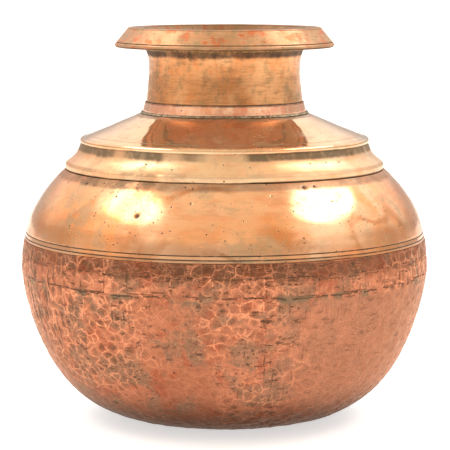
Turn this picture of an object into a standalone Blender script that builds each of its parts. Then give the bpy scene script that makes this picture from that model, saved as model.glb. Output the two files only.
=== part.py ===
"""Round-bellied water pot: turned upper parts brazed to a beaten copper bowl.

Units are metres and Z is up. The pot's axis is the Z axis and its foot stands on z = 0.
Every ring is an outline of (radius, height) points turned round that axis.
"""
import math

import bmesh
import bpy
from mathutils import Matrix

# The body: a beaten bowl below the widest line, a turned dome above it.
BODY_RADIUS = 0.125
BOWL_DEPTH = 0.093
BASE_RADIUS = 0.037
BOWL_RADIUS_POWER = 4.37
BOWL_HEIGHT_POWER = 1.41
DOME_HEIGHT = 0.1124         # where the dome's curve would close on the axis
DOME_RADIUS_POWER = 1.113
DOME_HEIGHT_POWER = 2.30
LEDGE_RISE = 0.0607          # from the widest line up to the ledge that carries the cap
LEDGE_WIDTH = 0.0051
BELLY_WALL = 0.0030
COPPER_WALL = 0.0015

# The copper band and its toothed seam with the bowl.
BAND_RISE = 0.0183           # from the widest line up to the band's top edge
SEAM_RISE = 0.0090           # from the widest line up to the tips of the bowl's teeth
TOOTH_HEIGHT = 0.0097
TOOTH_COUNT = 24
SKIRT_CLEARANCE = 0.0022     # from the tips up to the belly's skirt behind the band

# The pair of turned lines above the band.
LINE_RISE = 0.0021           # from the belly's lip up to the lower line
LINE_PITCH = 0.0018
LINE_WIDTH = 0.0007
LINE_DEPTH = 0.0004

# The cap: lower bead, cove, upper bead and sloping shoulder.
CAP_WALL = 0.0024
SPIGOT_HEIGHT = 0.0030
SPIGOT_WALL = 0.0020
LOWER_BEAD_HEIGHT = 0.0030
LOWER_BEAD_CORNER = 0.0006
COVE_HEIGHT = 0.0123
COVE_TOP_RADIUS = 0.0881
COVE_POWER = 0.72            # below 1 the curve hollows inwards
CREASE_HEIGHT = 0.0004       # the crease under the upper bead
UPPER_BEAD_RADIUS = 0.0883
UPPER_BEAD_HEIGHT = 0.0039
SLOPE_HEIGHT = 0.0139
SLOPE_FLAT_WIDTH = 0.0098    # the flatter outer part of the slope, inside the bead
SLOPE_FLAT_RISE = 0.0026
LAND_WIDTH = 0.0034          # the flat that the collar and its solder stand on
RECESS_DEPTH = 0.0030

# The neck and its collar.
NECK_FOOT_RADIUS = 0.0480
NECK_WAIST_RADIUS = 0.04625
NECK_TOP_RADIUS = 0.0490
NECK_WALL = 0.0022
NECK_RISE = 0.0333           # from the collar's top edge up to the rim's underside
WAIST_SHARE = 0.52           # how far up that stretch the neck is narrowest
NECK_TAPER_POWER = 1.2
NECK_FLARE_POWER = 3.3
NECK_SPIGOT_HEIGHT = 0.0060
NECK_STEP = 0.0011           # how far the spigot stands in from the neck's top
COLLAR_HEIGHT = 0.0069
COLLAR_WALL = 0.0017
COLLAR_TAPER = 0.0013
COLLAR_STRAIGHT = 0.0020     # the lower part of the collar that doesn't taper

# The rim.
RIM_RADIUS = 0.0671
RIM_HEIGHT = 0.0120
RIM_BEAD_RADIUS = 0.0015
RIM_BEVEL_TOP_RADIUS = 0.0588
RIM_BEVEL_FOOT_SETBACK = 0.0010
RIM_BEVEL_HEIGHT = 0.0088
RIM_UNDERCUT = 0.0035
SOCKET_WALL = 0.0022
MOUTH_RADIUS = 0.0500
THROAT_FLARE = 0.0010        # how far the throat has opened halfway up the lip

# The filler metal left in the joints.
FILLET_WIDTH = 0.0012
FILLET_LIP = 0.0004
CAP_BRAZE_HEIGHT = 0.0008
SEAM_BRAZE_WALL = 0.0008
SEAM_BRAZE_DROP = 0.0025

GAP = 0.0003                 # clearance between neighbouring pieces

# How finely the outlines are drawn.
SEGMENTS = 2 * TOOTH_COUNT
BOWL_STEPS = 12
DOME_STEPS = 5
BAND_STEPS = 5
SEAM_STEPS = 3
COVE_STEPS = 7
NECK_STEPS = 7
BEAD_STEPS = 5
SHARP_ANGLE = math.radians(35.0)
SLOPE_REACH = 0.0001         # half the step over which the belly's slope is taken


def bowl_curve_depth():
    """Depth of the bowl's curve on the axis, set so that it meets the foot's edge at z = 0."""
    share = 1.0 - (BASE_RADIUS / BODY_RADIUS) ** BOWL_RADIUS_POWER
    return BOWL_DEPTH / share ** (1.0 / BOWL_HEIGHT_POWER)


def body_radius(height):
    """Outer radius of the belly at a height between the foot's edge and the cap's ledge."""
    if height >= EQUATOR:
        share = ((height - EQUATOR) / DOME_HEIGHT) ** DOME_HEIGHT_POWER
        return BODY_RADIUS * (1.0 - share) ** (1.0 / DOME_RADIUS_POWER)
    share = ((EQUATOR - height) / bowl_curve_depth()) ** BOWL_HEIGHT_POWER
    return BODY_RADIUS * (1.0 - share) ** (1.0 / BOWL_RADIUS_POWER)


def neck_radius(height):
    """Outer radius of the neck: a gentle taper up to the waist, then a quick flare."""
    waist = COLLAR_TOP + WAIST_SHARE * NECK_RISE
    if height <= waist:
        share = (waist - height) / (waist - COLLAR_TOP)
        return NECK_WAIST_RADIUS + (NECK_FOOT_RADIUS - NECK_WAIST_RADIUS) * share ** NECK_TAPER_POWER
    share = (height - waist) / (NECK_SHOULDER - waist)
    return NECK_WAIST_RADIUS + (NECK_TOP_RADIUS - NECK_WAIST_RADIUS) * share ** NECK_FLARE_POWER


# Heights that follow from the sizes above.
EQUATOR = BOWL_DEPTH
BAND_TOP = EQUATOR + BAND_RISE
BELLY_LIP = BAND_TOP + GAP
TOOTH_TIP = EQUATOR + SEAM_RISE
TOOTH_ROOT = TOOTH_TIP - TOOTH_HEIGHT
SKIRT_BOTTOM = TOOTH_TIP + SKIRT_CLEARANCE
LEDGE = EQUATOR + LEDGE_RISE
SPIGOT_TOP = LEDGE + SPIGOT_HEIGHT
REBATE_TOP = SPIGOT_TOP + GAP + CAP_BRAZE_HEIGHT + GAP
CAP_BOTTOM = LEDGE + GAP
COVE_BOTTOM = CAP_BOTTOM + LOWER_BEAD_HEIGHT
COVE_TOP = COVE_BOTTOM + COVE_HEIGHT
UPPER_BEAD_BOTTOM = COVE_TOP + CREASE_HEIGHT
UPPER_BEAD_TOP = UPPER_BEAD_BOTTOM + UPPER_BEAD_HEIGHT
LAND = UPPER_BEAD_TOP + SLOPE_HEIGHT
RECESS_FLOOR = LAND - RECESS_DEPTH
COLLAR_BOTTOM = LAND + GAP
COLLAR_TOP = COLLAR_BOTTOM + COLLAR_HEIGHT
RIM_BOTTOM = COLLAR_TOP + NECK_RISE
RIM_TOP = RIM_BOTTOM + RIM_HEIGHT
NECK_SHOULDER = RIM_BOTTOM - GAP
NECK_SPIGOT_TOP = NECK_SHOULDER + NECK_SPIGOT_HEIGHT
SOCKET_TOP = NECK_SPIGOT_TOP + GAP

# Radii that follow from the sizes above.
LEDGE_RADIUS = body_radius(LEDGE)
SPIGOT_RADIUS = LEDGE_RADIUS - LEDGE_WIDTH
SPIGOT_BORE = SPIGOT_RADIUS - SPIGOT_WALL
REBATE_RADIUS = SPIGOT_RADIUS + GAP
COLLAR_BORE = NECK_FOOT_RADIUS + GAP
COLLAR_RADIUS = COLLAR_BORE + COLLAR_WALL
LAND_RADIUS = COLLAR_BORE + LAND_WIDTH
NECK_BORE = NECK_FOOT_RADIUS - NECK_WALL
NECK_SPIGOT_RADIUS = NECK_TOP_RADIUS - NECK_STEP
SOCKET_RADIUS = NECK_SPIGOT_RADIUS + GAP
THROAT_RADIUS = NECK_SPIGOT_RADIUS - NECK_WALL


def clear_scene():
    for item in list(bpy.data.objects):
        bpy.data.objects.remove(item, do_unlink=True)


def make_collection(name):
    collection = bpy.data.collections.new(name)
    bpy.context.scene.collection.children.link(collection)
    return collection


def make_metal(name, colour, roughness):
    material = bpy.data.materials.new(name)
    material.use_nodes = True
    shader = material.node_tree.nodes["Principled BSDF"]
    shader.inputs["Base Color"].default_value = (*colour, 1.0)
    shader.inputs["Metallic"].default_value = 1.0
    shader.inputs["Roughness"].default_value = roughness
    return material


def make_turned_bronze(name):
    return make_metal(name, (0.72, 0.42, 0.20), 0.22)


def make_beaten_copper(name):
    return make_metal(name, (0.56, 0.24, 0.14), 0.38)


def make_filler(name):
    return make_metal(name, (0.62, 0.50, 0.42), 0.45)


def spread(first, last, steps):
    return [first + (last - first) * step / steps for step in range(steps + 1)]


def arc(centre, radius, first, last, steps):
    """Points round a centre; angles in degrees, counted from straight outwards."""
    points = []
    for angle in spread(math.radians(first), math.radians(last), steps):
        points.append((centre[0] + radius * math.cos(angle), centre[1] + radius * math.sin(angle)))
    return points


def sink(outline, depth):
    """The same outline moved into the metal, square to itself, by a depth."""
    moved = []
    for index, (radius, height) in enumerate(outline):
        before = outline[max(index - 1, 0)]
        after = outline[min(index + 1, len(outline) - 1)]
        along = (after[0] - before[0], after[1] - before[1])
        length = math.hypot(*along)
        moved.append((radius + depth * along[1] / length, height - depth * along[0] / length))
    return moved


def belly_point(height, depth):
    """The point of the belly's side at a height, moved into the metal by a depth."""
    slope = (body_radius(height + SLOPE_REACH) - body_radius(height - SLOPE_REACH)) / (2.0 * SLOPE_REACH)
    length = math.hypot(1.0, slope)
    return body_radius(height) - depth / length, height + depth * slope / length


def belly_outline(top, bottom, steps, depth=0.0):
    """The belly's side between two heights, sunk by a depth."""
    return [belly_point(height, depth) for height in spread(top, bottom, steps)]


def turn(name, outline, closed, material, collection):
    """Turn an outline round the axis; it runs down its outer side, so its faces point out."""
    edges = [(index, index + 1) for index in range(len(outline) - 1)]
    if closed:
        edges.append((len(outline) - 1, 0))
    mesh = bpy.data.meshes.new(name)
    mesh.from_pydata([(radius, 0.0, height) for radius, height in outline], edges, [])
    mesh.materials.append(material)
    piece = bpy.data.objects.new(name, mesh)
    collection.objects.link(piece)
    screw = piece.modifiers.new("Turned", "SCREW")
    screw.axis = "Z"
    screw.steps = SEGMENTS
    screw.render_steps = SEGMENTS
    screw.use_merge_vertices = True
    screw.merge_threshold = 0.00001
    return piece


def thicken(piece, wall):
    solidify = piece.modifiers.new("Wall", "SOLIDIFY")
    solidify.thickness = wall
    solidify.offset = -1.0
    solidify.use_even_offset = True


def make_slot_cutters(name, first_slot, bottom, top, collection):
    """Upright blocks, one for each slot, that leave a row of teeth between them."""
    pitch = math.tau / TOOTH_COUNT
    half_slot = pitch / 4.0
    width = 2.0 * BODY_RADIUS * math.sin(half_slot) + GAP
    reach = 2.0 * (BODY_RADIUS - body_radius(TOOTH_TIP) + 2.0 * BELLY_WALL)
    build = bmesh.new()
    for slot in range(TOOTH_COUNT):
        block = bmesh.ops.create_cube(build, size=1.0)["verts"]
        bmesh.ops.scale(build, vec=(reach, width, top - bottom), verts=block)
        bmesh.ops.translate(build, vec=(BODY_RADIUS, 0.0, (top + bottom) / 2.0), verts=block)
        around = Matrix.Rotation((slot + first_slot) * pitch, 4, "Z")
        bmesh.ops.transform(build, matrix=around, verts=block)
    mesh = bpy.data.meshes.new(name)
    build.to_mesh(mesh)
    build.free()
    cutter = bpy.data.objects.new(name, mesh)
    cutter.display_type = "WIRE"
    cutter.hide_render = True
    collection.objects.link(cutter)
    return cutter


def cut(piece, cutter):
    boolean = piece.modifiers.new("Slots", "BOOLEAN")
    boolean.operation = "DIFFERENCE"
    boolean.solver = "EXACT"
    boolean.object = cutter


def make_lower_bowl(parts, cutters):
    """Beaten bowl with a flat foot; its upper edge is a row of teeth."""
    root_share = (body_radius(TOOTH_ROOT) / BODY_RADIUS) ** (BOWL_RADIUS_POWER / 2.0)
    foot_share = (BASE_RADIUS / BODY_RADIUS) ** (BOWL_RADIUS_POWER / 2.0)
    outline = [(body_radius(TOOTH_TIP), TOOTH_TIP), (BODY_RADIUS, EQUATOR)]
    for angle in spread(math.acos(root_share), math.acos(foot_share), BOWL_STEPS)[1:]:
        radius = BODY_RADIUS * math.cos(angle) ** (2.0 / BOWL_RADIUS_POWER)
        drop = bowl_curve_depth() * math.sin(angle) ** (2.0 / BOWL_HEIGHT_POWER)
        outline.append((radius, EQUATOR - drop))
    outline.append((0.0, outline[-1][1]))
    bowl = turn("lower_bowl", outline, False, make_beaten_copper("bowl_copper"), parts)
    thicken(bowl, COPPER_WALL)
    cut(bowl, make_slot_cutters("bowl_slots", 0.5, TOOTH_ROOT, TOOTH_TIP + TOOTH_HEIGHT, cutters))
    return bowl


def make_belly_band(parts, cutters):
    """Beaten belt above the seam; its teeth fill the bowl's slots."""
    outline = belly_outline(BAND_TOP, TOOTH_ROOT + GAP, BAND_STEPS)
    band = turn("belly_band", outline, False, make_beaten_copper("band_copper"), parts)
    thicken(band, COPPER_WALL)
    cut(band, make_slot_cutters("band_slots", 0.0, TOOTH_ROOT - TOOTH_HEIGHT, TOOTH_TIP + GAP, cutters))
    return band


def line_outline(middle):
    """One turned line, as a shallow notch in the belly."""
    half = LINE_WIDTH / 2.0
    notch = (body_radius(middle) - LINE_DEPTH, middle)
    return [(body_radius(middle + half), middle + half), notch, (body_radius(middle - half), middle - half)]


def make_upper_belly(parts):
    """Turned dome with a pair of lines, a skirt behind the band and a spigot in the cap."""
    lower_line = BELLY_LIP + LINE_RISE
    upper_line = lower_line + LINE_PITCH
    band_depth = COPPER_WALL + GAP
    outline = [(SPIGOT_BORE, SPIGOT_TOP), (SPIGOT_RADIUS, SPIGOT_TOP), (SPIGOT_RADIUS, LEDGE)]
    outline += belly_outline(LEDGE, upper_line + LINE_PITCH, DOME_STEPS)
    outline += line_outline(upper_line) + line_outline(lower_line)
    outline += [(body_radius(BELLY_LIP), BELLY_LIP)]
    outline += belly_outline(BELLY_LIP, SKIRT_BOTTOM, 1, band_depth)
    outline += reversed(belly_outline(LEDGE, SKIRT_BOTTOM, DOME_STEPS + 1, BELLY_WALL)[1:])
    outline += [(SPIGOT_BORE, LEDGE - BELLY_WALL)]
    return turn("upper_belly", outline, True, make_turned_bronze("belly_bronze"), parts)


def cove_outline():
    """The hollow side of the cap, from under the upper bead down to the lower one."""
    width = LEDGE_RADIUS - COVE_TOP_RADIUS
    points = []
    for angle in spread(math.pi / 2.0, 0.0, COVE_STEPS):
        across = max(math.cos(angle), 0.0) ** (2.0 / COVE_POWER)
        upwards = math.sin(angle) ** (2.0 / COVE_POWER)
        points.append((COVE_TOP_RADIUS + width * across, COVE_BOTTOM + COVE_HEIGHT * upwards))
    return points


def make_shoulder_cap(parts):
    """Cap that sits over the dome like a lid: slope, upper bead, cove and lower bead."""
    bead = UPPER_BEAD_HEIGHT / 2.0
    bead_middle = (UPPER_BEAD_RADIUS - bead, UPPER_BEAD_BOTTOM + bead)
    flat_inner = (bead_middle[0] - SLOPE_FLAT_WIDTH, UPPER_BEAD_TOP + SLOPE_FLAT_RISE)
    slope = (LAND - flat_inner[1]) / (flat_inner[0] - LAND_RADIUS)
    under = CAP_WALL * math.hypot(1.0, slope)
    boss_radius = COLLAR_BORE + CAP_WALL
    boss_bottom = RECESS_FLOOR - CAP_WALL
    cove = cove_outline()
    corner = LOWER_BEAD_CORNER
    outline = [(COLLAR_BORE, LAND), (LAND_RADIUS, LAND), flat_inner]
    outline += arc(bead_middle, bead, 90.0, -60.0, BEAD_STEPS) + cove[:-1]
    outline += [(LEDGE_RADIUS - corner, COVE_BOTTOM), (LEDGE_RADIUS, COVE_BOTTOM - corner)]
    outline += [(LEDGE_RADIUS, CAP_BOTTOM + corner), (LEDGE_RADIUS - corner, CAP_BOTTOM)]
    outline += [(REBATE_RADIUS, CAP_BOTTOM), (REBATE_RADIUS, REBATE_TOP)]
    outline += inner_cove(cove)
    outline += [(flat_inner[0], flat_inner[1] - under)]
    outline += [(boss_radius, LAND - under + slope * (LAND_RADIUS - boss_radius))]
    outline += [(boss_radius, boss_bottom), (NECK_BORE, boss_bottom)]
    outline += [(NECK_BORE, RECESS_FLOOR), (COLLAR_BORE, RECESS_FLOOR)]
    return turn("shoulder_cap", outline, True, make_turned_bronze("cap_bronze"), parts)


def inner_cove(cove):
    """Inside of the cove, upwards from where it meets the ceiling of the cap's rebate."""
    inside = list(reversed(sink(cove, CAP_WALL)))
    above = [index for index, point in enumerate(inside) if point[1] > REBATE_TOP]
    low = inside[above[0] - 1]
    high = inside[above[0]]
    share = (REBATE_TOP - low[1]) / (high[1] - low[1])
    meeting = low[0] + share * (high[0] - low[0])
    return [(meeting, REBATE_TOP)] + inside[above[0]:]


def make_neck(parts):
    """Thin tube, let into the cap's recess below and into the rim's socket above."""
    foot = RECESS_FLOOR + GAP
    side = [(neck_radius(height), height) for height in spread(NECK_SHOULDER, COLLAR_TOP, NECK_STEPS)]
    inside = [(radius - NECK_WALL, height) for radius, height in reversed(side[1:])]
    outline = [(THROAT_RADIUS, NECK_SPIGOT_TOP), (NECK_SPIGOT_RADIUS, NECK_SPIGOT_TOP)]
    outline += [(NECK_SPIGOT_RADIUS, NECK_SHOULDER)] + side
    outline += [(NECK_FOOT_RADIUS, foot), (NECK_BORE, foot)] + inside
    return turn("neck", outline, True, make_turned_bronze("neck_bronze"), parts)


def make_neck_collar(parts):
    """Plain ring round the foot of the neck, a little narrower at its top."""
    outline = [(COLLAR_BORE, COLLAR_TOP), (COLLAR_RADIUS - COLLAR_TAPER, COLLAR_TOP)]
    outline += [(COLLAR_RADIUS, COLLAR_BOTTOM + COLLAR_STRAIGHT), (COLLAR_RADIUS, COLLAR_BOTTOM)]
    outline += [(COLLAR_BORE, COLLAR_BOTTOM)]
    return turn("neck_collar", outline, True, make_turned_bronze("collar_bronze"), parts)


def make_rim_lip(parts):
    """Heavy turned-out lip: flat land, straight bevel, small round bead at its edge."""
    bead = RIM_BEAD_RADIUS
    bead_middle = (RIM_RADIUS - bead, RIM_BOTTOM + bead)
    bevel_foot = (RIM_RADIUS - RIM_BEVEL_FOOT_SETBACK, RIM_TOP - RIM_BEVEL_HEIGHT)
    undercut = RIM_BOTTOM + RIM_UNDERCUT
    socket_outside = SOCKET_RADIUS + SOCKET_WALL
    halfway = (SOCKET_TOP + RIM_TOP) / 2.0
    outline = [(MOUTH_RADIUS, RIM_TOP), (RIM_BEVEL_TOP_RADIUS, RIM_TOP), bevel_foot]
    outline += arc(bead_middle, bead, 60.0, -90.0, BEAD_STEPS)
    outline += [(RIM_BEVEL_TOP_RADIUS, undercut), (socket_outside, undercut)]
    outline += [(socket_outside, RIM_BOTTOM), (SOCKET_RADIUS, RIM_BOTTOM)]
    outline += [(SOCKET_RADIUS, SOCKET_TOP), (THROAT_RADIUS, SOCKET_TOP)]
    outline += [(THROAT_RADIUS + THROAT_FLARE, halfway)]
    return turn("rim_lip", outline, True, make_turned_bronze("rim_bronze"), parts)


def make_rim_braze(parts):
    """Fillet in the corner between the rim's underside and the top of the neck."""
    radius = NECK_TOP_RADIUS + GAP
    top = NECK_SHOULDER
    outline = [(radius, top), (radius + FILLET_WIDTH, top)]
    outline += [(radius + FILLET_LIP, top - FILLET_WIDTH), (radius, top - FILLET_WIDTH)]
    return turn("rim_braze", outline, True, make_filler("rim_filler"), parts)


def make_collar_solder(parts):
    """Fillet in the corner between the collar's foot and the cap's land."""
    radius = COLLAR_RADIUS + GAP
    top = COLLAR_BOTTOM + FILLET_WIDTH
    outline = [(radius, top), (radius + FILLET_LIP, top)]
    outline += [(radius + FILLET_WIDTH, COLLAR_BOTTOM), (radius, COLLAR_BOTTOM)]
    return turn("collar_solder", outline, True, make_filler("collar_filler"), parts)


def make_cap_braze(parts):
    """Filler that fills the cap's rebate above the spigot."""
    bottom = SPIGOT_TOP + GAP
    top = bottom + CAP_BRAZE_HEIGHT
    outline = [(SPIGOT_BORE, top), (SPIGOT_RADIUS, top), (SPIGOT_RADIUS, bottom), (SPIGOT_BORE, bottom)]
    return turn("cap_braze", outline, True, make_filler("cap_filler"), parts)


def make_band_braze(parts):
    """Bead of filler below the belly's skirt, behind the band."""
    outer = COPPER_WALL + GAP
    outline = belly_outline(SKIRT_BOTTOM - GAP, TOOTH_TIP + GAP, 1, outer)
    outline += reversed(belly_outline(SKIRT_BOTTOM - GAP, TOOTH_TIP + GAP, 1, outer + FILLET_WIDTH))
    return turn("band_braze", outline, True, make_filler("band_filler"), parts)


def make_seam_braze(parts):
    """Strip of filler inside the toothed seam."""
    outer = COPPER_WALL + GAP
    bottom = TOOTH_ROOT - SEAM_BRAZE_DROP
    outline = belly_outline(TOOTH_TIP, bottom, SEAM_STEPS, outer)
    outline += reversed(belly_outline(TOOTH_TIP, bottom, SEAM_STEPS, outer + SEAM_BRAZE_WALL))
    return turn("seam_braze", outline, True, make_filler("seam_filler"), parts)


def shade_round(piece):
    """Fix the turned shape as a mesh, smooth round the pot and sharp at its edges."""
    evaluated = piece.evaluated_get(bpy.context.evaluated_depsgraph_get())
    mesh = bpy.data.meshes.new_from_object(evaluated)
    piece.modifiers.clear()
    piece.data = mesh
    mesh.shade_smooth()
    mesh.set_sharp_from_angle(angle=SHARP_ANGLE)


def make_pot():
    clear_scene()
    parts = make_collection("water_pot")
    cutters = make_collection("cutters")
    pieces = [make_lower_bowl(parts, cutters), make_belly_band(parts, cutters)]
    for make_piece in (make_upper_belly, make_shoulder_cap, make_neck, make_neck_collar, make_rim_lip,
                       make_rim_braze, make_collar_solder, make_cap_braze, make_band_braze,
                       make_seam_braze):
        pieces.append(make_piece(parts))
    bpy.context.view_layer.update()
    for piece in pieces:
        shade_round(piece)


make_pot()
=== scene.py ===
import math
import random

import bpy
import numpy as np
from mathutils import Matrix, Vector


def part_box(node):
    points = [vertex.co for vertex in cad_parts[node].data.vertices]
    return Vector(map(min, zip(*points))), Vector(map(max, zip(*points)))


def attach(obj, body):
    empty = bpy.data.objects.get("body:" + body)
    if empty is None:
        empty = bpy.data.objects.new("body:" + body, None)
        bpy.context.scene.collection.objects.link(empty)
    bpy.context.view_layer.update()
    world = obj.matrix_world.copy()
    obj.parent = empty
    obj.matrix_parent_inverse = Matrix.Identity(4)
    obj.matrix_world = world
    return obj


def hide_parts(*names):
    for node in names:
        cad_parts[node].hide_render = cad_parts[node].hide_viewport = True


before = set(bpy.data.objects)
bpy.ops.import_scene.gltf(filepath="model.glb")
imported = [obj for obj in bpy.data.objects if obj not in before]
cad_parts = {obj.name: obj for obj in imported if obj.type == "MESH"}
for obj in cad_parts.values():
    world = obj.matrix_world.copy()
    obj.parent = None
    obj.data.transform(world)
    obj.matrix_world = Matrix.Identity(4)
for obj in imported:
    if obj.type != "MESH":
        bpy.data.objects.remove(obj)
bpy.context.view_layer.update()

mm = 0.001
print("frame loaded")


def operator(operation):
    return lambda first, *others: first.maths(operation, *others)


class Wire:  # a node's output that can be used in a sum
    def __init__(self, board, socket):
        self.board = board
        self.socket = socket

    def maths(self, operation, *others):
        sockets = dict(enumerate((self,) + others))
        return self.board.add("ShaderNodeMath", {"operation": operation}, sockets)

    __add__ = __radd__ = operator("ADD")
    __sub__ = operator("SUBTRACT")
    __mul__ = operator("MULTIPLY")
    __truediv__ = operator("DIVIDE")
    __pow__ = operator("POWER")
    least = operator("MINIMUM")
    most = operator("MAXIMUM")
    size = operator("ABSOLUTE")

    def __rsub__(self, other):
        return (self * -1.0) + other

    def __rtruediv__(self, other):
        return (self ** -1.0) * other

    def other(self, name):  # another output of the same node
        return Wire(self.board, self.socket.node.outputs[name])

    def ramp(self, start, end):  # 0 at start, 1 at end, eased between; start may be the higher
        sockets = {"Value": self, "From Min": start, "From Max": end}
        if start > end:
            sockets = {"Value": self, "From Min": end, "From Max": start, "To Min": 1.0, "To Max": 0.0}
        return self.board.add("ShaderNodeMapRange", {"interpolation_type": "SMOOTHSTEP"}, sockets)

    def near(self, middle, outer, shadedInside):  # 1 within inner of the middle, 0 past outer
        return (self - middle).size().ramp(outer, shadedInside)


class Board:  # a node tree that any node is added to by one method
    def __init__(self, tree):
        self.tree = tree

    def add(self, kind, settings=None, sockets=None, out=0):
        made = self.tree.nodes.new(kind)
        for name, value in (settings or {}).items():
            setattr(made, name, value)
        for name, value in (sockets or {}).items():
            self.plug(value, made.inputs[name])
        return Wire(self, made.outputs[out]) if made.outputs else made

    def plug(self, value, socket):
        if isinstance(value, Wire):
            self.tree.links.new(value.socket, socket)
        else:
            socket.default_value = value

    def split(self, vector):
        parts = self.add("ShaderNodeSeparateXYZ", {}, {0: vector})
        return parts, parts.other("Y"), parts.other("Z")

    def join(self, x, y, z):
        return self.add("ShaderNodeCombineXYZ", {}, {0: x, 1: y, 2: z})

    def stretch(self, vector, amount):
        return self.add("ShaderNodeVectorMath", {"operation": "SCALE"}, {0: vector, "Scale": amount})

    def shift(self, vector, amount):
        return self.add("ShaderNodeVectorMath", {"operation": "ADD"}, {0: vector, 1: amount})

    def distance(self, first, second):
        return self.add("ShaderNodeVectorMath", {"operation": "DISTANCE"}, {0: first, 1: second}, out="Value")

    def moved(self, geometry, way, amount):
        sockets = {"Geometry": geometry, "Offset": self.stretch(way, amount)}
        return self.add("GeometryNodeSetPosition", {}, sockets)

    def named(self, name, kind):
        return self.add("GeometryNodeInputNamedAttribute", {"data_type": kind}, {"Name": name})

    def attribute(self, name):
        return self.add("ShaderNodeAttribute", {"attribute_name": name}, out="Fac")

    def noise(self, vector, scale, detail=2.0, roughness=0.5, distortion=0.0):
        return self.add("ShaderNodeTexNoise", {}, {
            "Vector": vector, "Scale": scale, "Detail": detail, "Roughness": roughness, "Distortion": distortion})

    def around(self, way, turns, height, detail=3.0, roughness=0.6):  # noise that wraps the pot's axis
        east, north = way
        return self.noise(self.join(east * turns, north * turns, height), 1.0, detail, roughness)

    def cells(self, vector, scale, feature="F1"):
        return self.add("ShaderNodeTexVoronoi", {"feature": feature}, {"Vector": vector, "Scale": scale})

    def tint(self, factor, first, second):
        return self.add("ShaderNodeMix", {"data_type": "RGBA"}, {0: factor, 6: first, 7: second}, out=2)

    def coat(self, look, coats):  # each coat is a factor and the name of the colour it lays on top
        colour = linear(look["base"])
        for factor, name in coats:
            colour = self.tint(factor, colour, linear(look[name]))
        return colour


def linear(colour):  # a colour given 0 to 255, as the shader wants it
    return tuple((c / 255.0) ** 2.2 for c in colour) + (1.0,)


def segmentSteps(outline):  # an outline is a list of (radius, height, shown), run anticlockwise
    points = np.array([p[:2] for p in outline])
    return np.roll(points, -1, axis=0) - points


def eased(outline, radius):  # every sharp corner gets a small round and two support points
    steps = segmentSteps(outline)
    lengths = np.hypot(steps[:, 0], steps[:, 1])
    rounded = []
    for i, point in enumerate(outline):
        before, after = steps[i - 1], steps[i]
        turn = abs(math.atan2(before[0] * after[1] - before[1] * after[0], before @ after))
        if turn < math.radians(17.0):
            rounded.append(point)
            continue
        room = 0.42 * min(lengths[i - 1], lengths[i])
        cut = min(radius * math.tan(turn / 2.0), room)
        corner = np.array(point[:2])
        start = corner - before / lengths[i - 1] * cut
        end = corner + after / lengths[i] * cut
        support = min(0.12 * mm, 0.5 * room)
        marks = [start - before / lengths[i - 1] * support]
        for t in (0.0, 0.33, 0.67, 1.0):
            marks.append((1 - t) ** 2 * start + 2 * t * (1 - t) * corner + t * t * end)
        marks.append(end + after / lengths[i] * support)
        rounded += [(m[0], m[1], point[2]) for m in marks]
    return rounded


def spaced(outline, step, hiddenStep):  # long runs are divided, finer where they show
    finished = []
    for i, point in enumerate(outline):
        following = outline[(i + 1) % len(outline)]
        shown = min(point[2], following[2])
        run = math.hypot(following[0] - point[0], following[1] - point[1])
        count = max(1, math.ceil(run / (step if shown > 0.5 else hiddenStep) - 0.2))
        for k in range(count):
            t = k / count
            finished.append(tuple(point[n] + (following[n] - point[n]) * t for n in range(3)))
    return finished


def outlineNormals(outline):
    steps = segmentSteps(outline)
    unit = steps / np.maximum(np.hypot(steps[:, 0], steps[:, 1])[:, None], 1e-9)
    tangent = unit + np.roll(unit, 1, axis=0)
    tangent /= np.maximum(np.hypot(tangent[:, 0], tangent[:, 1])[:, None], 1e-9)
    return np.stack([tangent[:, 1], -tangent[:, 0]], axis=1)


def linked(name, data):
    made = bpy.data.objects.new(name, data)
    bpy.context.scene.collection.objects.link(made)
    return made


def meshObject(name, points, faces, outward):
    mesh = bpy.data.meshes.new(name)
    mesh.from_pydata([tuple(p) for p in points], [], faces)
    mesh.polygons.foreach_set("use_smooth", [True] * len(mesh.polygons))
    field = mesh.attributes.new("outward", "FLOAT_VECTOR", "POINT")
    field.data.foreach_set("vector", np.asarray(outward, np.float32).ravel())
    mesh.update()
    return linked(name, mesh)


def gridFaces(columns, rows, closedRows):
    ring = np.arange(columns)
    following = (ring + 1) % columns
    lines = range(rows if closedRows else rows - 1)
    faces = []
    for j in lines:
        k = (j + 1) % rows
        here, there = ring * rows, following * rows
        block = np.stack([here + j, there + j, there + k, here + k], 1)
        faces += block.tolist()
    return faces


def turned(name, outline, columns):
    angles = np.arange(columns) * math.tau / columns
    section = np.array(outline)
    normals = outlineNormals(outline)
    cosine, sine = np.cos(angles)[:, None], np.sin(angles)[:, None]
    radius, height = section[None, :, 0], section[None, :, 1]
    points = np.stack([cosine * radius, sine * radius, np.broadcast_to(height, (columns, len(section)))], -1)
    push = normals * section[:, 2:3]
    out = np.stack([cosine * push[None, :, 0], sine * push[None, :, 0]], -1)
    out = np.concatenate([out, np.broadcast_to(push[None, :, 1:2], out.shape[:2] + (1,))], -1)
    faces = gridFaces(columns, len(section), True)
    return meshObject(name, points.reshape(-1, 3), faces, out.reshape(-1, 3))


def arc(middle, radius, start, end, steps, shown=1.0):
    angles = [math.radians(start + (end - start) * k / steps) for k in range(steps + 1)]
    return [(middle[0] + radius * math.cos(a), middle[1] + radius * math.sin(a), shown) for a in angles]


def line(points, shown=1.0):
    return [(r, z, shown) for r, z in points]


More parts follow.
